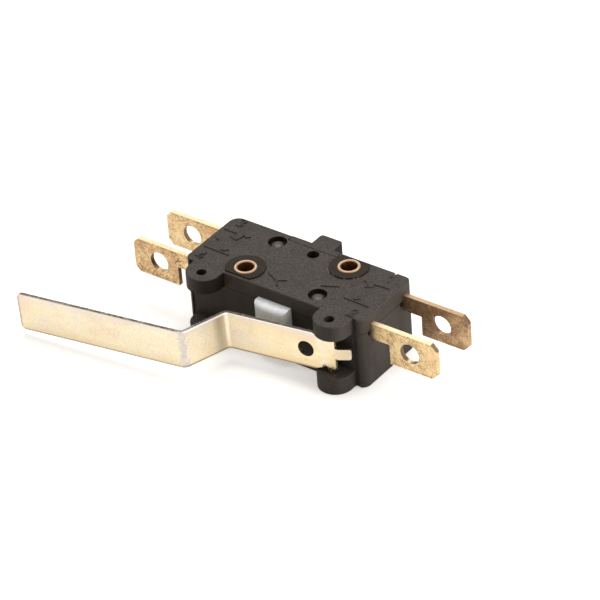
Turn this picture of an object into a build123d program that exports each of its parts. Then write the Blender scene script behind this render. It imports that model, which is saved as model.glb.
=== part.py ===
from build123d import *
import os
from math import cos, pi, radians, sin

# Double-break snap-action micro switch with a joggled hinge lever.
# It lies on its flat side. X runs along the housing, +Y points away from the
# lever, Z is the direction of the mounting holes. The origin is halfway between
# the two mounting holes, on the underside. All sizes are in millimetres.

# Housing shells
body_length = 33.9
front_depth = 6.9
back_depth = 6.75
body_height = 12.7
cover_thickness = 2.7
wall = 1.3
floor_thickness = 1.3
front_corner = 1.5
back_left_corner = 1.8
back_right_corner = 1.15
edge_bevel = 0.1
seam_gap = 0.12
seam_bevel = 0.09
chamber_corner = 1.2
clear_of_body = 1.0

# Mounting holes, stakes and the small index hole
hole_x = 6.86
hole_y = 4.2
disc_radius = 3.22
disc_rim = 0.45
disc_height = 0.25
bottom_recess = 0.4
boss_radius = 2.6
stake_column_radius = 1.5
stake_post_radius = 0.72
stake_head_radius = 1.15
stake_head_height = 0.62
stake_head_rim = 0.22
stake_recess_radius = 1.53
stake_recess_depth = 0.85
index_hole_radius = 1.0
index_hole_depth = 2.0

# Brass eyelets
eyelet_bore_radius = 1.325
eyelet_wall = 0.28
eyelet_flange_radius = 1.86
eyelet_flange = 0.35
eyelet_bevel = 0.1
eyelet_clearance = 0.05

# Ears that carry the lever
ear_inset = 4.785
ear_stand_off = 1.7
ear_half_width = 2.95
ear_nose = 2.2
ear_corner = 2.9
ear_hole_radius = 0.825
slit_width = 0.8
slit_depth = 0.3

# Rear lug and the strip of rear wall that stands in a notch of the cover
lug_width = 4.1
lug_depth = 2.65
lug_corner = 0.5
riser_left = 5.7
riser_right = 3.5
riser_thickness = 1.15
nick_inset = 2.95
nick_width = 0.5
nick_depth = 0.4

# Quick-connect terminals
tab_height = 6.35
tab_thickness = 0.8
tab_rise = 1.14
tab_reach = 12.15
tab_step = 3.31
tab_root_height = 2.84
tab_chamfer = 1.15
tab_bevel = 0.22
tab_hole_reach = 7.02
tab_hole_radius = 1.73
front_tab_inset = 2.78
rear_tab_inset = 2.25
tab_slot_clearance = 0.05
tab_slot_overrun = 0.6
slot_nick = 0.8
pad_length = 4.2
pad_end_gap = 0.35
pad_floor_gap = 0.05
pad_top_gap = 0.1
jog_run = 1.0
jog_radius = 0.7

# Contacts and moving bridge
contact_inset = 1.5
fixed_head_radius = 1.4
fixed_head_height = 0.9
rivet_radius = 0.7
rivet_clearance = 0.03
moving_head_radius = 1.3
moving_head_height = 0.6
blade_thickness = 0.35
blade_end = 1.3
blade_floor_gap = 2.0
blade_roof_gap = 0.9
blade_rail = 1.1
blade_window_inset = 4.1
blade_window_corner = 0.3
contact_gap = 0.75
contact_touch = 0.03

# Snap springs
snap_thickness = 0.22
snap_height = 1.8
snap_bulge = 1.6
snap_seat = 0.3
snap_end_gap = 0.15

# Plunger
plunger_x = 0.45
plunger_width = 6.2
plunger_floor_gap = 0.75
plunger_rise = 0.5
plunger_reach = 1.85
plunger_crown = 0.4
plunger_round = 0.85
plunger_travel = 1.05
plunger_clearance = 0.1
shoulder_width = 8.2
shoulder_depth = 0.9
shoulder_front = 0.1
neck_clearance = 0.2
spring_room = 3.25
pip_radius = 0.7
plunger_pip = 0.8
wall_pip = 0.6

# Plunger return spring
spring_radius = 1.1
spring_wire = 0.32
spring_turns = 4.5
spring_segments = 10
spring_sides = 5
spring_end_gap = 0.02

# Lever
lever_thickness = 0.55
lever_width = 6.65
lever_rest_angle = 6.65
lever_droop = 2.4
lever_face = 0.7
lever_top_gap = 0.1
lever_low_gap = 0.2
lever_neck_x = 2.7
lever_neck_inset = 1.0
lever_neck_run = 3.5
lever_bend_x = 18.2
lever_joggle = 7.45
lever_joggle_run = 3.6
lever_tip_x = 51.8
lever_bend_radius = 1.0
lever_tip_corner = 0.8
lever_hole_x = 4.1
lever_hole_radius = 1.39
lever_end_x = 1.0
lug_length = 1.4
lug_back = 1.05
lug_bend = 0.4
hinge_pip_radius = 0.7
hinge_pip_height = 0.65
tongue_width = 1.9
tongue_offset = 0.3
tongue_run = 1.8
tongue_rise = 0.8
tongue_corner = 0.35

# Sizes that follow from the ones above
end_x = body_length / 2
seam_z = body_height - cover_thickness
cavity_length = body_length - 2 * wall
cavity_depth = front_depth + back_depth - 2 * wall
cavity_y = (back_depth - front_depth) / 2
ear_x = end_x - ear_inset
ear_y = front_depth + ear_stand_off
ear_front = ear_y + ear_nose
lever_mid_z = seam_z - lever_top_gap - lever_width / 2
lower_ear_thickness = lever_mid_z - lever_width / 2 - lever_low_gap
eyelet_outer_radius = eyelet_bore_radius + eyelet_wall
eyelet_hole_radius = eyelet_outer_radius + eyelet_clearance
eyelet_seat_radius = eyelet_flange_radius + eyelet_clearance
eyelet_top = body_height + eyelet_flange
eyelet_places = [(-hole_x, -hole_y), (hole_x, hole_y)]
stake_places = [(-hole_x, hole_y), (hole_x, -hole_y)]
tab_top = seam_z + tab_rise
tab_tip_x = end_x + tab_reach
tab_step_x = end_x + tab_step
tab_hole_x = end_x + tab_hole_reach
front_tab_y = -front_depth + front_tab_inset
rear_tab_y = back_depth - rear_tab_inset
tab_rows = (front_tab_y, rear_tab_y)
pad_edge_x = end_x - wall - pad_end_gap
pad_inner_x = pad_edge_x - pad_length
pad_bottom = floor_thickness + pad_floor_gap
pad_top = seam_z - pad_top_gap
contact_x = pad_inner_x + contact_inset
blade_half_length = contact_x + blade_end
blade_window_x = contact_x - blade_window_inset
blade_bottom = floor_thickness + blade_floor_gap
blade_top = seam_z - blade_roof_gap
blade_height = blade_top - blade_bottom
blade_mid_y = (front_tab_y + rear_tab_y) / 2
blade_y = blade_mid_y - contact_gap / 2
moving_face = blade_thickness / 2 + moving_head_height
front_contact_y = blade_y - moving_face - contact_touch
rear_contact_y = blade_y + moving_face + contact_gap + contact_touch
pad_offset = fixed_head_height + tab_thickness / 2
front_pad_y = front_contact_y - pad_offset
rear_pad_y = rear_contact_y + pad_offset
plunger_bottom = floor_thickness + plunger_floor_gap
plunger_top = seam_z + plunger_rise
neck_mid_z = (blade_bottom + blade_top) / 2
contact_z = neck_mid_z
neck_height = blade_height - 2 * blade_rail - 2 * neck_clearance
spring_rear_y = back_depth - wall
neck_back = spring_rear_y - spring_room


def body_plan():
    """Plan outline of the housing body, with its four rounded corners."""
    with BuildSketch() as plan:
        with Locations((0, cavity_y)):
            Rectangle(body_length, front_depth + back_depth)
        fillet(plan.vertices().group_by(Axis.Y)[0], front_corner)
        fillet(plan.vertices().group_by(Axis.Y)[-1].sort_by(Axis.X)[0], back_left_corner)
        fillet(plan.vertices().group_by(Axis.Y)[-1].sort_by(Axis.X)[-1], back_right_corner)
    return plan.sketch


def ear_plan():
    """Plan outline of the two ears, rooted inside the body."""
    ear_length = ear_front - front_depth + wall
    with BuildSketch() as plan:
        with Locations((-ear_x, -ear_front + ear_length / 2), (ear_x, -ear_front + ear_length / 2)):
            Rectangle(2 * ear_half_width, ear_length)
        fillet(plan.vertices().group_by(Axis.Y)[0], ear_corner)
    return plan.sketch


def disc_plan():
    """Round fields about the eyelets, cut off straight near the long edges."""
    with BuildSketch() as plan:
        with Locations(*eyelet_places):
            Circle(disc_radius)
        with Locations((0, cavity_y)):
            Rectangle(body_length, front_depth + back_depth - 2 * disc_rim, mode=Mode.INTERSECT)
    return plan.sketch


def slit_plan():
    """Shallow grooves between each ear and the corner post beside it."""
    slit_x = ear_x + ear_half_width + slit_width / 2
    with BuildSketch() as plan:
        with Locations(*[(side * slit_x, -front_depth + slit_depth / 2) for side in (-1, 1)]):
            Rectangle(slit_width, slit_depth)
    return plan.sketch


def plunger_slot_plan(back_y):
    """Plan of the way the plunger slides in, from outside the front face to back_y."""
    slot_length = front_depth + clear_of_body + back_y
    with BuildSketch() as plan:
        with Locations((plunger_x, back_y - slot_length / 2)):
            Rectangle(plunger_width + 2 * plunger_clearance, slot_length)
    return plan.sketch


def tab_slot_plan():
    """Plan of the four slots that the tab roots pass through."""
    slot_width = tab_thickness + 2 * tab_slot_clearance
    slot_x = end_x - wall / 2
    with BuildSketch() as plan:
        with Locations(*[(side * slot_x, tab_y) for side in (-1, 1) for tab_y in tab_rows]):
            Rectangle(wall + 2 * tab_slot_overrun, slot_width)
    return plan.sketch


def make_base():
    """Lower shell: floor, walls, lower ears, bosses, stakes, rear lug and riser."""
    with BuildPart() as base:
        with BuildSketch():
            add(body_plan())
        extrude(amount=seam_z)
        with BuildSketch():
            add(ear_plan())
        extrude(amount=lower_ear_thickness)
        chamfer(base.faces().sort_by(Axis.Z)[0].outer_wire().edges(), edge_bevel)

        # Rear lug over the full height, and the riser that fills the cover's notch
        with BuildSketch() as lug:
            with Locations((0, back_depth + lug_depth / 2)):
                Rectangle(lug_width, lug_depth)
            fillet(lug.vertices().group_by(Axis.Y)[-1], lug_corner)
            with Locations((0, back_depth - riser_thickness / 2)):
                Rectangle(lug_width, riser_thickness)
        extrude(amount=body_height)
        with BuildSketch(Plane.XY.offset(seam_z)):
            with Locations(((riser_right - riser_left) / 2, back_depth - riser_thickness / 2)):
                Rectangle(riser_left + riser_right, riser_thickness)
        extrude(amount=cover_thickness)

        # Contact chamber
        with BuildSketch(Plane.XY.offset(floor_thickness)):
            with Locations((0, cavity_y)):
                RectangleRounded(cavity_length, cavity_depth, chamber_corner)
        extrude(amount=seam_z - floor_thickness, mode=Mode.SUBTRACT)
        with BuildSketch(Plane.XY.offset(floor_thickness)):
            with Locations(*eyelet_places):
                Circle(boss_radius)
            with Locations(*stake_places):
                Circle(stake_column_radius)
        extrude(amount=seam_z - floor_thickness)

        # Staked posts: a thin neck through the cover and a domed head in its recess
        head_base = body_height - stake_recess_depth
        for x, y in stake_places:
            stake_plane = Plane(origin=(x, y, 0), x_dir=(1, 0, 0), z_dir=(0, -1, 0))
            with BuildSketch(stake_plane):
                with BuildLine():
                    Polyline(
                        (0, head_base + stake_head_height),
                        (0, floor_thickness),
                        (stake_post_radius, floor_thickness),
                        (stake_post_radius, head_base),
                        (stake_head_radius, head_base),
                        (stake_head_radius, head_base + stake_head_rim),
                    )
                    TangentArc(
                        (0, head_base + stake_head_height),
                        (stake_head_radius, head_base + stake_head_rim),
                        tangent=(1, 0),
                    )
                make_face()
            revolve(axis=Axis((x, y, 0), (0, 0, 1)))

        # Locating pip for the return spring on the rear wall
        with BuildSketch(Plane.XZ.offset(-spring_rear_y)):
            with Locations((plunger_x, neck_mid_z)):
                Circle(pip_radius)
        extrude(amount=wall_pip)

        # Cuts: eyelet bores and sinkings, hinge holes, grooves, plunger and tab slots
        with BuildSketch():
            with Locations(*eyelet_places):
                Circle(eyelet_hole_radius)
        extrude(amount=seam_z, mode=Mode.SUBTRACT)
        with BuildSketch():
            add(disc_plan())
        extrude(amount=bottom_recess, mode=Mode.SUBTRACT)
        with BuildSketch():
            with Locations((-ear_x, -ear_y), (ear_x, -ear_y)):
                Circle(ear_hole_radius)
        extrude(amount=lower_ear_thickness, mode=Mode.SUBTRACT)
        with BuildSketch():
            add(slit_plan())
        extrude(amount=seam_z, mode=Mode.SUBTRACT)
        with BuildSketch(Plane.XY.offset(plunger_bottom - plunger_clearance)):
            add(plunger_slot_plan(-front_depth + wall))
        extrude(amount=seam_z, mode=Mode.SUBTRACT)
        slot_bottom = tab_top - tab_root_height - tab_slot_clearance
        with BuildSketch(Plane.XY.offset(slot_bottom)):
            add(tab_slot_plan())
        extrude(amount=seam_z - slot_bottom, mode=Mode.SUBTRACT)
        for side in (-1, 1):
            for tab_y in tab_rows:
                nick_y = tab_y - tab_thickness / 2 - slot_nick / 2
                nick_x = side * (end_x - slot_nick / 2)
                with BuildSketch(Plane.XY.offset(seam_z - slot_nick)):
                    with Locations((nick_x, nick_y)):
                        Rectangle(slot_nick, slot_nick)
                extrude(amount=slot_nick, mode=Mode.SUBTRACT)
    return base.part


def make_cover():
    """Upper shell: flat lid with the upper ears, raised discs, stake recesses and index hole."""
    with BuildPart() as cover:
        with BuildSketch(Plane.XY.offset(seam_z)):
            add(body_plan())
            add(ear_plan())
        extrude(amount=cover_thickness)
        chamfer(cover.faces().sort_by(Axis.Z)[-1].outer_wire().edges(), edge_bevel)
        chamfer(cover.faces().sort_by(Axis.Z)[0].outer_wire().edges(), seam_bevel)

        # Notch for the riser of the rear wall, open at the back edge
        with BuildSketch(Plane.XY.offset(seam_z)):
            with Locations(((riser_right - riser_left) / 2, back_depth - riser_thickness / 2)):
                Rectangle(riser_left + riser_right + 2 * seam_gap, riser_thickness + 2 * seam_gap)
        extrude(amount=cover_thickness, mode=Mode.SUBTRACT)

        # Small nick in the back edge
        with BuildSketch(Plane.XY.offset(seam_z)):
            with Locations((end_x - nick_inset, back_depth)):
                Rectangle(nick_width, 2 * nick_depth)
        extrude(amount=cover_thickness, mode=Mode.SUBTRACT)

        # Raised discs about the eyelets, eyelet holes, ear holes and grooves
        with BuildSketch(Plane.XY.offset(body_height)):
            add(disc_plan())
            with Locations(*eyelet_places):
                Circle(eyelet_seat_radius, mode=Mode.SUBTRACT)
        extrude(amount=disc_height)
        with BuildSketch(Plane.XY.offset(seam_z)):
            with Locations(*eyelet_places):
                Circle(eyelet_hole_radius)
            with Locations((-ear_x, -ear_y), (ear_x, -ear_y)):
                Circle(ear_hole_radius)
            with Locations(*stake_places):
                Circle(stake_post_radius + seam_gap)
            add(slit_plan())
        extrude(amount=cover_thickness, mode=Mode.SUBTRACT)

        # Stake recesses and the blind index hole
        with BuildSketch(Plane.XY.offset(body_height - stake_recess_depth)):
            with Locations(*stake_places):
                Circle(stake_recess_radius)
        extrude(amount=stake_recess_depth, mode=Mode.SUBTRACT)
        with BuildSketch(Plane.XY.offset(body_height - index_hole_depth)):
            with Locations((0, hole_y)):
                Circle(index_hole_radius)
        extrude(amount=index_hole_depth, mode=Mode.SUBTRACT)

        # Relief over the plunger head, and the upper part of the tab slots
        head_room = shoulder_front + shoulder_depth + plunger_travel + plunger_clearance
        with BuildSketch(Plane.XY.offset(seam_z)):
            add(plunger_slot_plan(-front_depth + wall + head_room))
        extrude(amount=plunger_top + plunger_clearance - seam_z, mode=Mode.SUBTRACT)
        with BuildSketch(Plane.XY.offset(seam_z)):
            add(tab_slot_plan())
        extrude(amount=tab_top + tab_slot_clearance - seam_z, mode=Mode.SUBTRACT)
    return cover.part


def make_eyelet(x, y):
    """Tubular brass eyelet, rolled over at both ends, through both shells."""
    section_plane = Plane(origin=(x, y, 0), x_dir=(1, 0, 0), z_dir=(0, -1, 0))
    with BuildPart() as eyelet:
        with BuildSketch(section_plane) as section:
            with Locations(((eyelet_bore_radius + eyelet_outer_radius) / 2, eyelet_top / 2)):
                Rectangle(eyelet_wall, eyelet_top)
            flange_x = (eyelet_bore_radius + eyelet_flange_radius) / 2
            flange_width = eyelet_flange_radius - eyelet_bore_radius
            with Locations((flange_x, eyelet_flange / 2), (flange_x, eyelet_top - eyelet_flange / 2)):
                Rectangle(flange_width, eyelet_flange)
            chamfer(section.vertices().group_by(Axis.Y)[-1], eyelet_bevel)
        revolve(axis=Axis((x, y, 0), (0, 0, 1)))
    return eyelet.part


def make_terminal(side, tab_y, pad_y):
    """Quick-connect tab, its narrow root and, past a joggle, the contact pad inside."""
    pad_outer_x = pad_edge_x - tab_thickness / 2
    jog_x = pad_outer_x - jog_run
    with BuildPart() as terminal:
        # The strip seen from above, bent in a joggle
        with BuildSketch():
            with BuildLine():
                FilletPolyline(
                    (side * tab_tip_x, tab_y),
                    (side * pad_outer_x, tab_y),
                    (side * jog_x, pad_y),
                    (side * pad_inner_x, pad_y),
                    radius=jog_radius,
                )
            trace(line_width=tab_thickness)
        extrude(amount=body_height)

        # The blank seen from the front: tab with cut corners, root and pad
        root_bottom = tab_top - tab_root_height
        tab_bottom = tab_top - tab_height
        with BuildSketch(Plane.XZ):
            with BuildLine():
                Polyline(
                    (side * pad_inner_x, pad_bottom),
                    (side * pad_inner_x, pad_top),
                    (side * pad_edge_x, pad_top),
                    (side * pad_edge_x, tab_top),
                    (side * (tab_tip_x - tab_chamfer), tab_top),
                    (side * tab_tip_x, tab_top - tab_chamfer),
                    (side * tab_tip_x, tab_bottom + tab_chamfer),
                    (side * (tab_tip_x - tab_chamfer), tab_bottom),
                    (side * tab_step_x, tab_bottom),
                    (side * tab_step_x, root_bottom),
                    (side * pad_edge_x, root_bottom),
                    (side * pad_edge_x, pad_bottom),
                    close=True,
                )
            make_face()
            with Locations((side * tab_hole_x, tab_top - tab_height / 2)):
                Circle(tab_hole_radius, mode=Mode.SUBTRACT)
        extrude(amount=body_length, both=True, mode=Mode.INTERSECT)

        # Bevelled leading edges of the tab
        tip_group = -1 if side > 0 else 0
        chamfer(terminal.edges().filter_by(Axis.Z).group_by(Axis.X)[tip_group], tab_bevel)
    return terminal.part


def make_fixed_contact(side, pad_y, towards):
    """Silver button welded onto the terminal's pad, facing the bridge."""
    with BuildPart() as contact:
        with BuildSketch(Plane.XZ.offset(-pad_y - towards * tab_thickness / 2)):
            with Locations((side * contact_x, contact_z)):
                Circle(fixed_head_radius)
        extrude(amount=-towards * fixed_head_height)
    return contact.part


def make_blade():
    """Spring-copper bridge: two rails round the plunger's neck, two contact ends."""
    with BuildPart() as blade:
        with BuildSketch(Plane.XZ.offset(-blade_y)) as outline:
            with Locations((0, neck_mid_z)):
                Rectangle(2 * blade_half_length, blade_height)
            fillet(outline.vertices(), blade_rail)
            with Locations((0, neck_mid_z)):
                RectangleRounded(
                    2 * blade_window_x, blade_height - 2 * blade_rail, blade_window_corner,
                    mode=Mode.SUBTRACT,
                )
            with Locations((-contact_x, contact_z), (contact_x, contact_z)):
                Circle(rivet_radius + rivet_clearance, mode=Mode.SUBTRACT)
        extrude(amount=blade_thickness / 2, both=True)
    return blade.part


def make_moving_contact(side):
    """Double-headed rivet through the end of the bridge."""
    with BuildPart() as contact:
        with BuildSketch(Plane.XZ.offset(-blade_y)):
            with Locations((side * contact_x, contact_z)):
                Circle(rivet_radius)
        extrude(amount=moving_face, both=True)
        for face in (-1, 1):
            with BuildSketch(Plane.XZ.offset(-blade_y - face * blade_thickness / 2)):
                with Locations((side * contact_x, contact_z)):
                    Circle(moving_head_radius)
            extrude(amount=-face * moving_head_height)
    return contact.part


def make_snap_spring(side):
    """Bowed strip between the plunger's neck and the outer edge of the bridge's window."""
    neck_face = plunger_x + side * plunger_width / 2
    inner = neck_face + side * snap_end_gap
    outer = side * (blade_window_x - snap_end_gap)
    with BuildPart() as spring:
        with BuildSketch(Plane.XY.offset(neck_mid_z - snap_height / 2)):
            with BuildLine():
                ThreePointArc(
                    (inner, blade_y - snap_seat),
                    ((inner + outer) / 2, blade_y - side * snap_bulge),
                    (outer, blade_y),
                )
            trace(line_width=snap_thickness)
        extrude(amount=snap_height)
    return spring.part


def make_plunger():
    """Nylon plunger: crowned head, shoulders behind the front wall, neck and spring pip."""
    head_front = -front_depth - plunger_reach
    shoulder_y = -front_depth + wall + shoulder_front
    head_back = shoulder_y + shoulder_depth
    half = plunger_width / 2
    with BuildPart() as plunger:
        with BuildSketch(Plane.XY.offset(plunger_bottom)):
            with BuildLine():
                ThreePointArc(
                    (plunger_x - half, head_front + plunger_crown),
                    (plunger_x, head_front),
                    (plunger_x + half, head_front + plunger_crown),
                )
                Polyline(
                    (plunger_x + half, head_front + plunger_crown),
                    (plunger_x + half, head_back),
                    (plunger_x - half, head_back),
                    (plunger_x - half, head_front + plunger_crown),
                )
            make_face()
        extrude(amount=plunger_top - plunger_bottom)
        fillet(plunger.faces().sort_by(Axis.Y)[0].edges(), plunger_round)
        with BuildSketch(Plane.XY.offset(plunger_bottom)):
            with Locations((plunger_x, shoulder_y + shoulder_depth / 2)):
                Rectangle(shoulder_width, shoulder_depth)
        extrude(amount=seam_z - plunger_clearance - plunger_bottom)
        with BuildSketch(Plane.XY.offset(neck_mid_z - neck_height / 2)):
            with Locations((plunger_x, (head_back + neck_back) / 2)):
                Rectangle(plunger_width, neck_back - head_back)
        extrude(amount=neck_height)
        with BuildSketch(Plane.XZ.offset(-neck_back)):
            with Locations((plunger_x, neck_mid_z)):
                Circle(pip_radius)
        extrude(amount=-plunger_pip)
    return plunger.part


def make_return_spring():
    """Compression spring between the plunger's neck and the rear wall, coiled in short chords."""
    start_y = neck_back + spring_wire / 2 + spring_end_gap
    end_y = spring_rear_y - spring_wire / 2 - spring_end_gap
    steps = round(spring_turns * spring_segments)
    coil_points = [
        (
            plunger_x + spring_radius * cos(2 * pi * i / spring_segments),
            start_y + (end_y - start_y) * i / steps,
            neck_mid_z + spring_radius * sin(2 * pi * i / spring_segments),
        )
        for i in range(steps + 1)
    ]
    with BuildPart() as spring:
        with BuildLine() as coil:
            Polyline(*coil_points)
        with BuildSketch(Plane(origin=coil.line @ 0, z_dir=coil.line % 0)):
            RegularPolygon(spring_wire / 2, spring_sides)
        sweep(transition=Transition.RIGHT)
    return spring.part


def make_lever():
    """Joggled steel strip with folded lugs, hinge pips, a round hole and a stop tongue."""
    rest = radians(lever_rest_angle)
    droop = radians(lever_droop)
    along = (cos(rest), sin(rest), 0)
    hinge_low_z = lever_mid_z - lever_width / 2
    hinge_high_z = lever_mid_z + lever_width / 2
    mid_y = -lever_face + lever_thickness / 2
    hinge_plane = Plane(origin=(ear_x, -ear_y, 0), x_dir=along, z_dir=(0, 0, 1))
    arm_plane = Plane(
        origin=(ear_x, -ear_y, lever_mid_z),
        x_dir=(cos(rest) * cos(droop), sin(rest) * cos(droop), sin(droop)),
        z_dir=(-cos(rest) * sin(droop), -sin(rest) * sin(droop), cos(droop)),
    )
    with BuildPart() as lever:
        # The arm: two parallel runs with a joggle between, drooping a little
        joggle_x = -lever_bend_x - lever_joggle_run
        with BuildSketch(arm_plane):
            with BuildLine():
                FilletPolyline(
                    (-lever_neck_x, mid_y),
                    (-lever_bend_x, mid_y),
                    (joggle_x, mid_y - lever_joggle),
                    (-lever_tip_x, mid_y - lever_joggle),
                    radius=lever_bend_radius,
                )
            trace(line_width=lever_thickness)
        extrude(amount=lever_width / 2, both=True)
        tip_face = lever.faces().sort_by(Axis(origin=(0, 0, 0), direction=along))[0]
        tip_edges = tip_face.edges().sort_by(Axis.Z)
        fillet([tip_edges[0], tip_edges[-1]], lever_tip_corner)

        # The neck between the arm and the folded lugs, cut back on a slant
        lug_start = lever_end_x - lug_length
        half_width = lever_width / 2
        half_neck = half_width - lever_neck_inset
        neck_plane = Plane(
            origin=arm_plane.from_local_coords((0, mid_y, 0)),
            x_dir=arm_plane.x_dir,
            z_dir=-arm_plane.y_dir,
        )
        with BuildSketch(neck_plane):
            with BuildLine():
                Polyline(
                    (-lever_neck_run, -half_neck),
                    (-lever_neck_x, -half_width),
                    (lug_start, -half_neck),
                    (lever_end_x, -half_neck),
                    (lever_end_x, half_neck),
                    (lug_start, half_neck),
                    (-lever_neck_x, half_width),
                    (-lever_neck_run, half_neck),
                    close=True,
                )
            make_face()
        extrude(amount=lever_thickness / 2, both=True)

        # The two lugs, folded back from the plate's edges
        lug_plane = Plane(
            origin=hinge_plane.from_local_coords((lever_end_x, 0, 0)), x_dir=(0, 0, 1), z_dir=along
        )
        with BuildSketch(lug_plane):
            with BuildLine():
                FilletPolyline(
                    (hinge_low_z + lever_thickness / 2, -lug_back),
                    (hinge_low_z + lever_thickness / 2, -mid_y),
                    (hinge_high_z - lever_thickness / 2, -mid_y),
                    (hinge_high_z - lever_thickness / 2, -lug_back),
                    radius=lug_bend,
                )
            trace(line_width=lever_thickness)
        extrude(amount=-lug_length)

        # Hinge pips that turn in the holes of the ears
        with BuildSketch(hinge_plane.offset(hinge_low_z - hinge_pip_height)):
            Circle(hinge_pip_radius)
        extrude(amount=hinge_pip_height + lever_thickness / 2)
        with BuildSketch(hinge_plane.offset(hinge_high_z + hinge_pip_height)):
            Circle(hinge_pip_radius)
        extrude(amount=-hinge_pip_height - lever_thickness / 2)

        # The tongue, bent back towards the housing
        with BuildSketch(hinge_plane.offset(lever_mid_z + tongue_offset - tongue_width / 2)):
            with BuildLine():
                FilletPolyline(
                    (lever_end_x - lever_thickness, mid_y),
                    (lever_end_x + lever_thickness, mid_y),
                    (lever_end_x + lever_thickness + tongue_run, mid_y + tongue_rise),
                    radius=lever_thickness,
                )
            trace(line_width=lever_thickness)
        extrude(amount=tongue_width)
        tongue_end = lever.faces().sort_by(Axis(origin=(0, 0, 0), direction=along))[-1]
        tongue_edges = tongue_end.edges().sort_by(Axis.Z)
        fillet([tongue_edges[0], tongue_edges[-1]], tongue_corner)

        # The round hole in the plate
        hole_plane = Plane(
            origin=arm_plane.from_local_coords((-lever_hole_x, 0, 0)),
            x_dir=along,
            z_dir=(sin(rest), -cos(rest), 0),
        )
        with BuildSketch(hole_plane):
            Circle(lever_hole_radius)
        extrude(amount=2 * lever_face, mode=Mode.SUBTRACT)
    return lever.part


parts = {
    "base_housing": make_base(),
    "cover": make_cover(),
    "eyelet_left": make_eyelet(*eyelet_places[0]),
    "eyelet_right": make_eyelet(*eyelet_places[1]),
    "contact_bridge": make_blade(),
    "plunger": make_plunger(),
    "return_spring": make_return_spring(),
    "lever": make_lever(),
}
for side, side_name in ((-1, "left"), (1, "right")):
    for row_name, tab_y, pad_y, towards in (
        ("front", front_tab_y, front_pad_y, 1),
        ("rear", rear_tab_y, rear_pad_y, -1),
    ):
        parts[f"terminal_{row_name}_{side_name}"] = make_terminal(side, tab_y, pad_y)
        parts[f"fixed_contact_{row_name}_{side_name}"] = make_fixed_contact(side, pad_y, towards)
    parts[f"moving_contact_{side_name}"] = make_moving_contact(side)
    parts[f"snap_spring_{side_name}"] = make_snap_spring(side)

os.makedirs("parts", exist_ok=True)
for name, part in parts.items():
    part.label = name
    export_step(part, f"parts/{name}.step")
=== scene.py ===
"""Looks of the micro switch: materials, raised marks, floor, soft light and the photo's camera.

Sizes are in millimetres and MM turns them into metres, except where a line says otherwise.
"""
import math

import bmesh
import bpy
from mathutils import Matrix, Vector


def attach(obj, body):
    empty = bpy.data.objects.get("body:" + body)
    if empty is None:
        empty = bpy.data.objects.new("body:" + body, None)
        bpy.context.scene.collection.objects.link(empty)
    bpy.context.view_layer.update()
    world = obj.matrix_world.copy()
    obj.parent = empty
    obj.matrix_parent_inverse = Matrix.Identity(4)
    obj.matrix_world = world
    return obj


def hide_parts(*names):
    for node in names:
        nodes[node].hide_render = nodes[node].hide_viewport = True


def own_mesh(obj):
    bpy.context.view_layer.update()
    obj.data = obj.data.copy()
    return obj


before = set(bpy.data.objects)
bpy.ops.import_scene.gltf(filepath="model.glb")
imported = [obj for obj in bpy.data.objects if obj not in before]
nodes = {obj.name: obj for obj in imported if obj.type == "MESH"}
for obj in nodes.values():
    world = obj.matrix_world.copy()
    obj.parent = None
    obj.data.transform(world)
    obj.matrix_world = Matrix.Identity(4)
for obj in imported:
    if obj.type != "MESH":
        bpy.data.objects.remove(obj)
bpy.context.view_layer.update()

MM = 0.001

# Places on the housing and the tabs
EYELETS = ((-6.86, -4.2), (6.86, 4.2))
STAKES = ((-6.86, 4.2), (6.86, -4.2))
COVER_TOP = 12.70
POCKET_FLOOR = 11.85
HEAD_RADIUS = 1.26
DISC_RADIUS = 3.25
EYELET_CREST = 1.60
BLADE_MIDDLE = (0, 0, 7.965)
BLADE_HALF = 3.175
TAB_HOLE = (23.97, 0, 7.965)
TAB_HOLE_RADIUS = 1.73

# The lever's arm as it is bent: direction along it, direction across it, its bends and width
REST, DROOP = math.radians(6.65), math.radians(2.4)
ARM = (math.cos(REST) * math.cos(DROOP), math.sin(REST) * math.cos(DROOP), math.sin(DROOP))
ARM_UP = (-math.cos(REST) * math.sin(DROOP), -math.sin(REST) * math.sin(DROOP), math.cos(DROOP))
HINGE = (12.165, -8.6, 6.575)
INNER_BEND, OUTER_BEND, TIP, HALF_WIDTH = -18.2, -21.8, -51.8, 3.325

# The raised marks: a line's width, the heights of its foot and crest, the crest's share of the
# width, and the height of a numeral
MARK_WIDTH, MARK_FOOT, MARK_CREST, CREST_SHARE = 0.34, 12.66, 12.88, 0.45
NUMERAL_HEIGHT = 1.8

# Floor and surroundings
FLOOR_HALF = 3000
FLOOR_DROP = 0.02
FLOOR_LIFT = 0.38
FLOOR_GLOSS = 0.20
WORLD_DIFFUSE = 0.42

# The photo's camera, fitted to the housing's edges, the holes and the tabs: degrees and pixels
CAMERA_AZIMUTH, CAMERA_ELEVATION, CAMERA_ROLL = 38.673, 35.217, 4.522
CAMERA_PLACE = (322.5407, -408.5315, 372.6741)
FOCAL_PX, FRAME_PX, AXIS_PX = 4087.18, 600, (278.128, 308.705)
SENSOR = 36.0


# Node helpers

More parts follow.
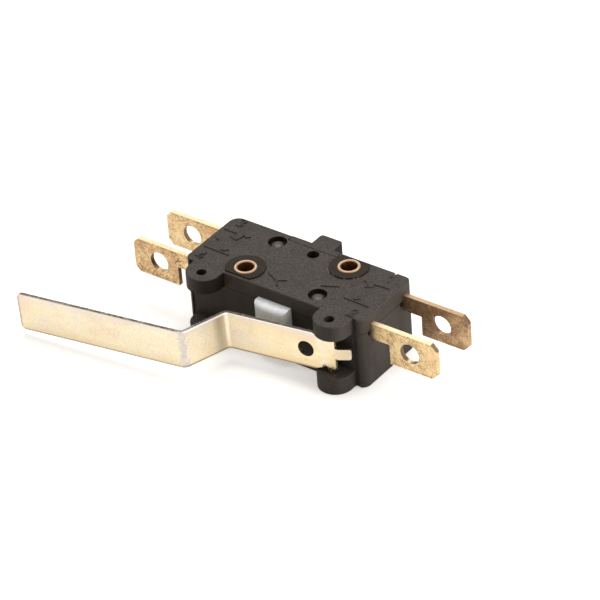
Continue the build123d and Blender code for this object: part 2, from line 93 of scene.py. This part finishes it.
class Shader:
    """A material under construction, with short calls for the nodes that it needs."""

    def __init__(self, name):
        self.material = bpy.data.materials.new(name)
        self.material.use_nodes = True
        self.tree = self.material.node_tree
        self.bsdf = self.tree.nodes["Principled BSDF"]
        self.coords = self.tree.nodes.new("ShaderNodeTexCoord").outputs["Object"]

    def new(self, kind, **settings):
        node = self.tree.nodes.new(kind)
        for key, value in settings.items():
            setattr(node, key, value)
        return node

    def put(self, socket, value):
        if isinstance(value, bpy.types.NodeSocket):
            self.tree.links.new(value, socket)
        else:
            socket.default_value = value

    def set(self, **values):
        for key, value in values.items():
            self.put(self.bsdf.inputs[key.replace("_", " ")], value)

    def math(self, operation, a, b=0.0):
        node = self.new("ShaderNodeMath", operation=operation)
        self.put(node.inputs[0], a)
        self.put(node.inputs[1], b)
        return node.outputs[0]

    def vector(self, operation, a, b=None):
        node = self.new("ShaderNodeVectorMath", operation=operation)
        self.put(node.inputs[0], a)
        if b is not None:
            self.put(node.inputs[1], b)
        return node

    def mapped(self, scale=(1, 1, 1), rotation=(0, 0, 0), location=(0, 0, 0), vector=None):
        node = self.new("ShaderNodeMapping")
        self.put(node.inputs["Vector"], vector or self.coords)
        node.inputs["Scale"].default_value = scale
        node.inputs["Rotation"].default_value = rotation
        node.inputs["Location"].default_value = location
        return node.outputs[0]

    def noise(self, scale, detail=3.0, rough=0.55, vector=None):
        node = self.new("ShaderNodeTexNoise")
        self.put(node.inputs["Vector"], vector or self.coords)
        node.inputs["Scale"].default_value = scale
        node.inputs["Detail"].default_value = detail
        node.inputs["Roughness"].default_value = rough
        return node.outputs["Fac"]

    def span(self, value, low, high, to_low=0.0, to_high=1.0):
        node = self.new("ShaderNodeMapRange", clamp=True)
        self.put(node.inputs["Value"], value)
        node.inputs["From Min"].default_value = low
        node.inputs["From Max"].default_value = high
        node.inputs["To Min"].default_value = to_low
        node.inputs["To Max"].default_value = to_high
        return node.outputs[0]

    def mix(self, fac, a, b):
        node = self.new("ShaderNodeMix", data_type="RGBA")
        self.put(node.inputs[0], fac)
        self.put(node.inputs[6], a)
        self.put(node.inputs[7], b)
        return node.outputs[2]

    def paint(self, base, *layers):
        """Colours laid over base one after the other, each through its mask."""
        for mask, colour in layers:
            base = self.mix(mask, base, colour)
        return base

    def bump(self, height, strength, distance, normal=None):
        node = self.new("ShaderNodeBump")
        self.put(node.inputs["Strength"], strength)
        node.inputs["Distance"].default_value = distance * MM
        self.put(node.inputs["Height"], height)
        if normal:
            self.put(node.inputs["Normal"], normal)
        return node.outputs[0]

    def normal(self):
        return self.new("ShaderNodeNewGeometry").outputs["Normal"]

    def axis(self, vector, name):
        node = self.new("ShaderNodeSeparateXYZ")
        self.put(node.inputs[0], vector)
        return node.outputs[name]

    def reach(self, direction, origin):
        """Distance of a point from origin along a direction, in metres."""
        along = self.vector("DOT_PRODUCT", self.coords, direction).outputs["Value"]
        return self.math("SUBTRACT", along, Vector(direction).dot(Vector(origin) * MM))

    def radius(self, x, y):
        """Distance of a point from a vertical line, in metres."""
        moved = self.mapped(location=(-x * MM, -y * MM, 0))
        flat = self.vector("MULTIPLY", moved, (1, 1, 0)).outputs[0]
        return self.vector("LENGTH", flat).outputs["Value"]

    def times(self, first, *others):
        for other in others:
            first = self.math("MULTIPLY", first, other)
        return first

    def most(self, *values):
        first, *others = values
        for other in others:
            first = self.math("MAXIMUM", first, other)
        return first

    def above(self, length, edge, soft, to_low=0.0, to_high=1.0):
        """Rises over a soft border about an edge."""
        return self.span(length, (edge - soft) * MM, (edge + soft) * MM, to_low, to_high)

    def below(self, length, edge, soft, to_low=0.0, to_high=1.0):
        """Falls over a soft border about an edge."""
        return self.span(length, (edge + soft) * MM, (edge - soft) * MM, to_low, to_high)

    def band(self, value, centre, half, soft, unit=MM):
        """One inside a band about centre, zero outside it, with soft borders."""
        away = self.math("ABSOLUTE", self.math("SUBTRACT", value, centre * unit))
        return self.span(away, (half - soft) * unit, (half + soft) * unit, 1.0, 0.0)


def rgb(red, green, blue):
    return (red, green, blue, 1.0)


# Materials

def plastic_material():
    """Black moulded plastic: grained and mottled, dark discs, painted shade round the stake heads
    and on front and inward faces, painted light on the right end, painted glints by a disc, upper
    bevels partly worn and partly a painted highlight.
    """
    s = Shader("black_moulded_plastic")
    grain = s.noise(3800, detail=5.0, rough=0.75)
    mottle = s.noise(420, detail=4.0)
    normal = s.normal()
    rightward = s.axis(normal, "X")
    slope = s.math("ABSOLUTE", s.axis(normal, "Z"))
    along, depth, height = (s.axis(s.coords, name) for name in "XYZ")

    streaks = s.span(s.noise(800, detail=3.0, vector=s.mapped(scale=(1, 1, 0.25))), 0.35, 0.65)
    wall = s.mix(streaks, rgb(0.043, 0.0350, 0.0295), rgb(0.057, 0.0475, 0.0405))
    upright = s.span(slope, 0.25, 0.90, 0.72, 0.0)
    # Painted shade: faces that look towards -y are darker.
    front = s.span(s.axis(normal, "Y"), -0.5, -0.9, 0.0, 0.40)
    # Painted shade: faces that look towards +x are darker on the left part, short of x 7.5 mm.
    inner = s.times(s.span(rightward, 0.1, 0.6, 0.0, 0.9), s.below(along, 7.5, 2.5))
    # Painted light: faces that look towards +x on the right end are lighter, more so towards the
    # top.
    end = s.times(s.span(rightward, 0.5, 0.9), s.above(height, 6, 4, 0.1, 0.5))
    end = s.times(end, s.above(along, 11.5, 1.5))

    staked = s.math("MINIMUM", *(s.radius(x, y) for x, y in STAKES))
    heads = s.times(s.below(staked, HEAD_RADIUS, 0.04), s.above(height, POCKET_FLOOR, 0.01))
    # Painted shade: a dark ring round each stake head, down in its pocket.
    in_pocket = s.below(height, COVER_TOP - 0.025, 0.015)
    painted_pocket_shade = s.times(s.band(staked, HEAD_RADIUS, 0.33, 0.09), in_pocket)
    discs = s.most(*(s.below(s.radius(x, y), DISC_RADIUS, 0.01) for x, y in EYELETS))
    discs = s.times(discs, s.above(height, COVER_TOP + 0.01, 0.01))
    # Painted glints: light specks just outside the right eyelet's disc, on its front side.
    painted_disc_glints = s.band(s.radius(*EYELETS[1]), DISC_RADIUS + 0.05, 0.10, 0.05)
    painted_disc_glints = s.times(painted_disc_glints, s.below(depth, 2.9, 0.3))
    painted_disc_glints = s.times(painted_disc_glints, s.span(s.noise(2600, detail=2.0), 0.54, 0.60, 0.0, 0.55))
    # Upper bevels lighter in patches: partly wear, partly a painted edge highlight.
    bevels = s.band(slope, 0.707, 0.12, 0.05, unit=1)
    worn = s.times(bevels, s.span(mottle, 0.42, 0.62, 0.0, 0.55), s.above(height, 9.7, 0.2))

    s.set(Base_Color=s.paint(
        s.mix(s.span(grain, 0.34, 0.67), rgb(0.017, 0.0135, 0.0110), rgb(0.100, 0.085, 0.074)),
        (s.span(mottle, 0.4, 0.7, 0.0, 0.35), rgb(0.040, 0.0330, 0.0280)),
        (upright, wall),
        (front, rgb(0.022, 0.0170, 0.0120)),
        (inner, rgb(0.008, 0.0060, 0.0045)),
        (end, rgb(0.090, 0.078, 0.068)),
        (s.times(painted_pocket_shade, 0.8), rgb(0.008, 0.0060, 0.0045)),
        (s.times(discs, 0.88), rgb(0.014, 0.0070, 0.0030)),
        (painted_disc_glints, rgb(0.38, 0.35, 0.32)),
        (worn, rgb(0.095, 0.085, 0.077)),
    ))
    rough = s.span(mottle, 0.3, 0.7, 0.50, 0.62)
    s.set(Roughness=s.math("SUBTRACT", rough, s.times(heads, 0.26)))
    s.set(Specular_IOR_Level=s.span(heads, 0.0, 1.0, 0.15, 0.40))
    s.set(Specular_Tint=rgb(1.0, 0.94, 0.88))
    fine = s.bump(grain, s.span(slope, 0.25, 0.90, 0.15, 0.45), 0.05)
    s.set(Normal=s.bump(s.noise(1500, detail=2.0), 0.14, 0.05, fine))
    return s.material


def brass_material(name, clean, worn, edge, stain, scratches, seed):
    """Stamped brass: tarnish in patches, a net of scratches, rubbed edges, dark sheared walls
    with painted shade, painted shade on one set of chamfers.
    """
    s = Shader(name)
    shift = (0.013 * seed, 0.007 * seed, 0.011 * seed)
    vector = s.mapped(location=shift)
    cloud = s.noise(330, detail=5.0, rough=0.62, vector=vector)
    spots = s.noise(2700, detail=5.0, rough=0.72, vector=vector)
    glints = s.span(s.noise(3300, detail=3.0, rough=0.7, vector=vector), 0.56, 0.70, 0.0, stain)

    lines = []
    for angle in (0.35, -0.5, 1.1, 2.2, -1.2):
        turned = s.mapped(rotation=(0, angle, 0), location=shift)
        stretched = s.mapped(scale=(0.06, 1.0, 1.5), vector=turned)
        lines.append(s.span(s.noise(5600, detail=1.0, vector=stretched), 0.61, 0.67))
    gate = s.span(s.noise(520, detail=2.0, vector=s.mapped(location=(0.5, 0.2, 0.1))), 0.40, 0.58)
    scratched = s.times(s.most(*lines), gate, scratches)

    across = s.math("ABSOLUTE", s.reach((0, 0, 1), BLADE_MIDDLE))
    line = s.times(s.band(across, BLADE_HALF - 0.295, 0.14, 0.06), s.span(spots, 0.40, 0.56))
    rubbed = s.above(across, BLADE_HALF - 0.095, 0.06)
    rubbed = s.times(rubbed, s.span(spots, 0.64, 0.50, 0.25, 0.75))

    normal = s.normal()
    rise = s.axis(normal, "Z")
    mirrored = s.vector("ABSOLUTE", s.coords).outputs[0]
    # Sheared walls of the tab holes: darker as sheared metal, with painted shade, darkest where
    # they face sideways or down.
    from_hole = s.mapped(scale=(1, 0, 1), location=-Vector(TAB_HOLE) * MM, vector=mirrored)
    away = s.vector("LENGTH", from_hole).outputs["Value"]
    sideways = s.span(s.math("ABSOLUTE", s.axis(normal, "Y")), 0.6, 0.3)
    sheared_wall_and_shade = s.times(s.below(away, TAB_HOLE_RADIUS + 0.06, 0.03), sideways)
    sheared_wall_and_shade = s.times(sheared_wall_and_shade, s.span(rise, 0.35, 0.95, 0.9, 0.35))
    # Painted shade: chamfers that face +x and up, or -x and down, are darker in patches.
    painted_chamfer_shade = s.span(s.times(s.axis(normal, "X"), rise), 0.28, 0.40)
    painted_chamfer_shade = s.times(painted_chamfer_shade, s.span(spots, 0.66, 0.50, 0.35, 0.9))

    s.set(Metallic=1.0, Base_Color=s.paint(
        s.mix(s.span(cloud, 0.35, 0.65), clean, worn),
        (s.span(spots, 0.46, 0.63, 0.0, stain), rgb(0.40, 0.220, 0.120)),
        (glints, rgb(0.93, 0.72, 0.42)),
        (scratched, rgb(0.20, 0.105, 0.050)),
        (s.times(line, 0.5), rgb(0.33, 0.185, 0.095)),
        (rubbed, edge),
        (sheared_wall_and_shade, rgb(0.15, 0.085, 0.045)),
        (painted_chamfer_shade, rgb(0.15, 0.09, 0.055)),
    ))
    s.set(Roughness=s.span(cloud, 0.3, 0.7, 0.34, 0.50))
    rolled = s.noise(2600, detail=3.0, vector=s.mapped(scale=(0.12, 1, 1)))
    s.set(Normal=s.bump(rolled, 0.10, 0.02, s.bump(scratched, 0.2, 0.01)))
    return s.material


def lever_material():
    """Yellow zinc on steel: straw, pink and grey clouds, bright burrs, a worn outer bend, a
    painted reflection and a painted highlight at the inner bend.
    """
    s = Shader("yellow_zinc_strip")
    drawn_along = s.mapped(scale=(0.35, 1, 1))
    broad = s.noise(85, detail=3.0, vector=drawn_along)
    cloud = s.noise(360, detail=6.0, rough=0.66, vector=drawn_along)
    patch = s.noise(170, detail=4.0, vector=s.mapped(location=(0.2, 0.1, 0.3)))
    grain = s.noise(2900, detail=3.0, rough=0.65)

    run = s.reach(ARM, HINGE)
    level = s.reach(ARM_UP, HINGE)
    fray = s.times(s.math("SUBTRACT", s.noise(900, detail=4.0), 0.5), 1.4 * MM)
    frayed = s.math("ADD", run, fray)
    height = s.math("ADD", level, fray)
    near_run = s.above(run, OUTER_BEND + 0.1, 0.4)
    far_run = s.math("SUBTRACT", 1.0, near_run)

    # Tints along both long edges and at the tip
    upper = s.above(height, HALF_WIDTH - 1.0, 0.5, 0.0, 0.45)
    lower = s.below(height, 1.0 - HALF_WIDTH, 0.5, 0.0, 0.45)
    flush = s.times(s.below(frayed, TIP + 2.0, 1.0), s.above(level, 0.35, 0.85))

    # The two bends
    worn = s.band(frayed, OUTER_BEND, 0.42, 0.16)
    worn = s.times(worn, s.span(s.noise(650, detail=3.0), 0.38, 0.52, 0.55, 0.95))
    pits = s.times(
        s.band(run, OUTER_BEND, 0.95, 0.2), s.span(s.noise(2300, detail=4.0), 0.60, 0.67))
    # Painted reflection: a dark strip in the inner bend, stronger towards the upper edge.
    inside = s.band(run, INNER_BEND - 0.42, 0.36, 0.25)
    inside = s.times(inside, s.above(level, 0.65, 2.15, 0.48, 0.80))
    # Painted highlight: a light strip just past the inner bend.
    pale = s.band(run, INNER_BEND + 0.5, 0.3, 0.25)

    # Upper and lower edge lines, the rubbed hinge end, the tongue and the dark lower lug with
    # light specks
    top = s.above(level, HALF_WIDTH - 0.17, 0.05)
    burr = s.times(
        s.above(level, HALF_WIDTH - 0.35, 0.05),
        s.above(run, OUTER_BEND + 0.55, 0.35),
        s.below(run, INNER_BEND + 0.3, 0.3),
    )
    rubbed = s.times(s.band(run, -1.1, 0.9, 0.5), s.span(cloud, 0.44, 0.54))
    tongue = s.above(run, 1.4, 0.8)
    lug = s.times(s.above(run, -1.4, 0.1), s.below(height, -2.525, 0.075))
    lug = s.times(lug, s.span(s.noise(3900, detail=2.0), 0.46, 0.56, 1.0, 0.15))
    low = s.most(s.below(level, 0.26 - HALF_WIDTH, 0.10), s.below(run, TIP + 0.28, 0.12))
    low_colour = s.mix(near_run, rgb(0.42, 0.34, 0.31), rgb(0.24, 0.16, 0.09))

    s.set(Metallic=1.0, Base_Color=s.paint(
        s.mix(s.span(broad, 0.42, 0.60), rgb(0.92, 0.81, 0.58), rgb(0.89, 0.73, 0.43)),
        (s.span(cloud, 0.50, 0.64, 0.0, 0.7), rgb(0.86, 0.68, 0.50)),
        (s.span(cloud, 0.46, 0.34, 0.0, 0.7), rgb(0.95, 0.87, 0.68)),
        (s.span(patch, 0.50, 0.66, 0.0, 0.50), rgb(0.83, 0.76, 0.66)),
        (s.span(grain, 0.44, 0.70, 0.0, 0.46), rgb(0.64, 0.53, 0.39)),
        (upper, rgb(0.79, 0.71, 0.66)),
        (lower, rgb(0.84, 0.67, 0.38)),
        (s.times(flush, 0.6), rgb(0.84, 0.62, 0.50)),
        (worn, rgb(0.62, 0.57, 0.56)),
        (s.times(pits, 0.7), rgb(0.36, 0.28, 0.23)),
        (inside, rgb(0.42, 0.33, 0.24)),
        (s.times(pale, 0.3), rgb(0.95, 0.90, 0.76)),
        (s.times(top, near_run, 0.9), rgb(1.0, 0.99, 0.96)),
        (burr, rgb(1.0, 0.99, 0.96)),
        (s.times(top, far_run, 0.5), rgb(0.66, 0.60, 0.55)),
        (s.times(rubbed, 0.5), rgb(0.97, 0.94, 0.87)),
        (s.times(tongue, 0.45), rgb(0.56, 0.49, 0.40)),
        (lug, rgb(0.075, 0.060, 0.050)),
        (s.times(low, 0.8), low_colour),
    ))
    s.set(Roughness=s.span(cloud, 0.3, 0.7, 0.32, 0.44))
    drawn = s.noise(5200, detail=2.0, vector=s.mapped(scale=(0.04, 1, 1)))
    s.set(Normal=s.bump(drawn, 0.10, 0.02, s.bump(grain, 0.10, 0.02)))
    return s.material


def edge_material():
    """Sheared edge of the strip: dark steel, torn in places."""
    s = Shader("sheared_steel_edge")
    streak = s.noise(3600, detail=4.0, rough=0.7, vector=s.mapped(scale=(0.4, 1, 1)))
    run = s.reach(ARM, HINGE)
    near_run = s.above(run, OUTER_BEND - 1.0, 0.4)
    torn = s.mix(s.span(streak, 0.42, 0.64), rgb(0.055, 0.045, 0.037), rgb(0.36, 0.32, 0.27))
    sheared = s.mix(s.span(streak, 0.45, 0.65), rgb(0.10, 0.085, 0.075), rgb(0.30, 0.27, 0.24))
    bend = s.times(s.band(run, OUTER_BEND, 1.0, 0.4), s.span(streak, 0.42, 0.56, 0.15, 0.75))
    edge = s.mix(near_run, torn, sheared)
    s.set(Metallic=1.0, Base_Color=s.mix(bend, edge, rgb(0.62, 0.60, 0.58)))
    s.set(Roughness=s.span(streak, 0.3, 0.7, 0.5, 0.36))
    s.set(Normal=s.bump(streak, 0.25, 0.03))
    return s.material


def eyelet_material():
    """Rolled brass: a browner rim with a painted highlight along its crest and painted shade down
    the bore.
    """
    s = Shader("rolled_brass")
    cloud = s.noise(1300, detail=4.0, rough=0.6)
    rim = s.mix(s.span(cloud, 0.38, 0.66), rgb(0.38, 0.235, 0.130), rgb(0.28, 0.155, 0.075))
    out = s.math("MINIMUM", *(s.radius(x, y) for x, y in EYELETS))
    # Painted highlight: a bright band along the rolled crest.
    ring = s.times(s.band(out, EYELET_CREST, 0.085, 0.05), s.span(cloud, 0.34, 0.56, 0.5, 1.0))
    # Painted shade: darker below the crest's upper part and down the bore.
    bore = s.below(s.axis(s.coords, "Z"), COVER_TOP + 0.215, 0.065)
    s.set(Metallic=1.0, Base_Color=s.paint(
        rim, (ring, rgb(0.66, 0.52, 0.385)), (bore, rgb(0.33, 0.17, 0.075))))
    s.set(Roughness=s.span(cloud, 0.3, 0.7, 0.34, 0.50))
    s.set(Normal=s.bump(cloud, 0.10, 0.02))
    return s.material


def nylon_material():
    """Milky bluish nylon with soft light inside."""
    s = Shader("milky_nylon")
    cloud = s.noise(700, detail=3.0)
    drawn = s.noise(3200, detail=2.0, vector=s.mapped(scale=(1, 1, 0.08)))
    specks = s.span(s.noise(3600, detail=2.0), 0.66, 0.74, 0.0, 0.5)
    s.set(Base_Color=s.paint(
        s.mix(s.span(cloud, 0.4, 0.65), rgb(0.78, 0.79, 0.78), rgb(0.88, 0.885, 0.87)),
        (s.span(drawn, 0.55, 0.72, 0.0, 0.35), rgb(0.58, 0.59, 0.58)),
        (specks, rgb(0.42, 0.40, 0.37)),
    ))
    s.set(Roughness=s.span(cloud, 0.3, 0.7, 0.30, 0.42))
    s.set(Subsurface_Weight=0.35, Subsurface_Radius=(1.0, 1.0, 1.0), Subsurface_Scale=0.6 * MM)
    s.set(Normal=s.bump(drawn, 0.15, 0.03))
    return s.material


def metal_material(name, bright, dull, low, high):
    """Plain metal with a fine cloud in colour and gloss."""
    s = Shader(name)
    cloud = s.noise(1200, detail=4.0, rough=0.6)
    s.set(Base_Color=s.mix(s.span(cloud, 0.35, 0.68), bright, dull), Metallic=1.0)
    s.set(Roughness=s.span(cloud, 0.3, 0.7, low, high))
    s.set(Normal=s.bump(cloud, 0.08, 0.02))
    return s.material


def wear(node, *materials):
    node.data.materials.clear()
    for material in materials:
        node.data.materials.append(material)


plastic = plastic_material()
eyelet_brass = eyelet_material()
silver = metal_material("silver_alloy", rgb(0.80, 0.79, 0.77), rgb(0.55, 0.54, 0.53), 0.28, 0.42)
steel = metal_material("spring_steel", rgb(0.55, 0.55, 0.56), rgb(0.40, 0.40, 0.42), 0.28, 0.40)
copper = metal_material("spring_copper", rgb(0.72, 0.42, 0.26), rgb(0.58, 0.32, 0.20), 0.30, 0.42)
for node_name, node in nodes.items():
    if node_name in ("base_housing", "cover"):
        wear(node, plastic)
    elif node_name.startswith("eyelet"):
        wear(node, eyelet_brass)
    elif node_name.startswith(("fixed_contact", "moving_contact")):
        wear(node, silver)
    elif node_name.startswith(("return_spring", "snap_spring")):
        wear(node, steel)
wear(nodes["contact_bridge"], copper)
wear(nodes["plunger"], nylon_material())

bright_brass, worn_brass = rgb(0.95, 0.74, 0.41), rgb(0.86, 0.61, 0.33)
dull_brass, brown_brass = rgb(0.76, 0.54, 0.31), rgb(0.25, 0.145, 0.080)
rubbed_brass, tawny_brass = rgb(0.91, 0.74, 0.49), rgb(0.50, 0.34, 0.20)
mid_brass = rgb(0.66, 0.43, 0.23)
for seed, (node_name, *looks) in enumerate((
    ("terminal_front_right", bright_brass, worn_brass, rubbed_brass, 0.35, 0.8),
    ("terminal_rear_right", dull_brass, brown_brass, tawny_brass, 0.85, 0.9),
    ("terminal_front_left", bright_brass, mid_brass, rubbed_brass, 0.80, 0.9),
    ("terminal_rear_left", bright_brass, worn_brass, rubbed_brass, 0.55, 0.6),
)):
    wear(nodes[node_name], brass_material(f"brass_{node_name}", *looks, seed))

wear(nodes["lever"], lever_material(), edge_material())
for polygon in nodes["lever"].data.polygons:
    polygon.material_index = 1 if abs(polygon.normal.z) > 0.7 else 0


# Raised marks on the cover

def stroke(bm, points):
    """One raised line with sloping flanks along the points."""
    points = [Vector(point) for point in points]
    steps = [(b - a).normalized() for a, b in zip(points, points[1:])]
    steps = [steps[0], *steps, steps[-1]]
    rows = []
    for point, before, after in zip(points, steps, steps[1:]):
        turn = (before + after).normalized()
        side = Vector((-turn.y, turn.x)) * MARK_WIDTH / 2 / max(turn.dot(after), 0.5)
        places = (
            (1.0, MARK_FOOT),
            (CREST_SHARE, MARK_CREST),
            (-CREST_SHARE, MARK_CREST),
            (-1.0, MARK_FOOT),
        )
        rows.append([bm.verts.new((*((point + side * k) * MM), z * MM)) for k, z in places])
    for a, b in zip(rows, rows[1:]):
        for i in range(3):
            bm.faces.new((a[i], a[i + 1], b[i + 1], b[i]))
    bm.faces.new(rows[0][::-1])
    bm.faces.new(rows[-1])


def raised_marks():
    """Terminal numerals and lines of the contact diagram, moulded proud of the cover."""
    bm = bmesh.new()
    one = ((0.1, 0.75), (0.4, 1.0), (0.4, 0.0))
    two = ((0.0, 0.8), (0.2, 1.0), (0.5, 0.97), (0.62, 0.75), (0.0, 0.0), (0.65, 0.0))
    three = (
        (0.0, 0.95), (0.45, 1.0), (0.6, 0.78), (0.25, 0.55), (0.62, 0.3), (0.4, 0.0), (0.0, 0.1))
    four = ((0.45, 0.0), (0.45, 1.0), (0.0, 0.3), (0.65, 0.3))
    for x, y, shape in (
        (13.7, 3.9, one), (13.9, -6.4, two), (-15.3, 4.5, three), (-15.5, -5.9, four)
    ):
        stroke(bm, [(x + u * NUMERAL_HEIGHT, y + v * NUMERAL_HEIGHT) for u, v in shape])
    for line in (
        ((-16.19, 2.82), (-13.86, 2.75)),
        ((-14.1, 1.6), (-12.74, 1.22), (-12.48, 1.92), (-12.45, 3.0)),
        ((-12.45, 3.0), (-11.75, 2.52), (-11.15, 3.03)),
        ((-16.0, 0.28), (-15.2, -0.15)),
        ((-16.15, -2.62), (-11.21, -2.78)),
        ((-13.28, -2.2), (-12.57, -2.05), (-12.12, -1.46)),
        ((-3.03, -3.43), (-0.76, -4.43), (0.15, -5.6)),
        ((-0.5, -4.38), (0.67, -3.64)),
        ((5.92, -2.1), (8.63, -0.85)),
        ((10.89, -2.85), (15.63, -2.94)),
        ((12.39, -2.45), (13.19, -2.0), (12.74, -1.35)),
        ((10.95, 2.4), (11.46, 2.48), (12.25, 1.61)),
        ((12.02, 1.01), (13.33, 1.95)),
        ((12.85, 2.37), (15.6, 2.59)),
    ):
        stroke(bm, line)
    bmesh.ops.recalc_face_normals(bm, faces=bm.faces)
    mesh = bpy.data.meshes.new("cover_marks")
    bm.to_mesh(mesh)
    bm.free()
    mesh.materials.append(plastic)
    marks = bpy.data.objects.new("cover_marks", mesh)
    bpy.context.scene.collection.objects.link(marks)
    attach(marks, "housing")


raised_marks()


# The return spring

def return_coil():
    """The spring's own copy of the mesh, hung on the housing in place of return_spring."""
    coil = bpy.data.objects.new("return_coil", nodes["return_spring"].data.copy())
    coil.matrix_world = nodes["return_spring"].matrix_world.copy()
    bpy.context.scene.collection.objects.link(coil)
    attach(coil, "housing")
    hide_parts("return_spring")
    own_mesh(coil)


return_coil()


# Floor, light and camera

def make_floor():
    """Wide pale floor, just under the switch, that keeps its soft shadow."""
    mesh = bpy.data.meshes.new("floor")
    half, low = FLOOR_HALF * MM, -FLOOR_DROP * MM
    corners = [(-half, -half, low), (half, -half, low), (half, half, low), (-half, half, low)]
    mesh.from_pydata(corners, [], [(0, 1, 2, 3)])
    floor = bpy.data.objects.new("floor", mesh)
    bpy.context.scene.collection.objects.link(floor)
    s = Shader("pale_floor")
    s.set(Base_Color=rgb(0.88, 0.865, 0.845), Roughness=0.9, Specular_IOR_Level=0.0)
    s.set(Emission_Color=rgb(1.0, 0.965, 0.93))
    path = s.new("ShaderNodeLightPath")
    lift = s.times(path.outputs["Is Camera Ray"], FLOOR_LIFT)
    gloss = s.times(path.outputs["Is Glossy Ray"], FLOOR_GLOSS)
    s.set(Emission_Strength=s.most(lift, gloss))
    mesh.materials.append(s.material)


def make_world():
    """White surroundings for the camera and for gloss, dimmer for diffuse light."""
    world = bpy.data.worlds.new("studio")
    bpy.context.scene.world = world
    world.use_nodes = True
    tree = world.node_tree
    background = tree.nodes["Background"]
    path = tree.nodes.new("ShaderNodeLightPath")
    seen = path.outputs["Is Camera Ray"]
    for ray in ("Is Glossy Ray", "Is Transmission Ray"):
        either = tree.nodes.new("ShaderNodeMath")
        either.operation = "MAXIMUM"
        tree.links.new(seen, either.inputs[0])
        tree.links.new(path.outputs[ray], either.inputs[1])
        seen = either.outputs[0]
    strength = tree.nodes.new("ShaderNodeMapRange")
    strength.inputs["To Min"].default_value = WORLD_DIFFUSE
    strength.inputs["To Max"].default_value = 1.0
    tree.links.new(seen, strength.inputs["Value"])
    background.inputs["Color"].default_value = rgb(1, 1, 1)
    tree.links.new(strength.outputs[0], background.inputs["Strength"])


def area_light(name, place, target, size, power):
    """Square lamp at a place in metres that faces its target."""
    light = bpy.data.lights.new(name, "AREA")
    light.shape = "SQUARE"
    light.size = size
    light.energy = power
    lamp = bpy.data.objects.new(name, light)
    lamp.location = place
    lamp.rotation_mode = "QUATERNION"
    lamp.rotation_quaternion = (Vector(target) - Vector(place)).to_track_quat("-Z", "Y")
    bpy.context.scene.collection.objects.link(lamp)


def make_camera():
    """A very long lens, 38.7 degrees round to the right and 35.2 degrees up."""
    azimuth, elevation = math.radians(CAMERA_AZIMUTH), math.radians(CAMERA_ELEVATION)
    roll = math.radians(CAMERA_ROLL)
    right = Vector((math.cos(azimuth), math.sin(azimuth), 0))
    back = Vector((
        math.sin(azimuth) * math.cos(elevation),
        -math.cos(azimuth) * math.cos(elevation),
        math.sin(elevation),
    ))
    up = back.cross(right)
    cam_right = right * math.cos(roll) - up * math.sin(roll)
    cam_up = right * math.sin(roll) + up * math.cos(roll)
    data = bpy.data.cameras.new("camera")
    data.sensor_width = SENSOR
    data.lens = FOCAL_PX / FRAME_PX * SENSOR
    data.shift_x = (FRAME_PX / 2 - AXIS_PX[0]) / FRAME_PX
    data.shift_y = (AXIS_PX[1] - FRAME_PX / 2) / FRAME_PX
    data.clip_start, data.clip_end = 0.01, 10.0
    camera = bpy.data.objects.new("camera", data)
    turn = Matrix((cam_right, cam_up, back)).transposed().to_4x4()
    camera.matrix_world = Matrix.Translation(Vector(CAMERA_PLACE) * MM) @ turn
    bpy.context.scene.collection.objects.link(camera)
    bpy.context.scene.camera = camera


make_floor()
make_world()
area_light("overhead", place=(-0.05, 0.12, 0.55), target=(0, 0, 0), size=0.45, power=2.3)
area_light("right_fill", place=(0.55, 0.1, 0.22), target=(0, 0, 0.005), size=0.35, power=1.6)
make_camera()

scene = bpy.context.scene
scene.view_settings.view_transform = "Standard"
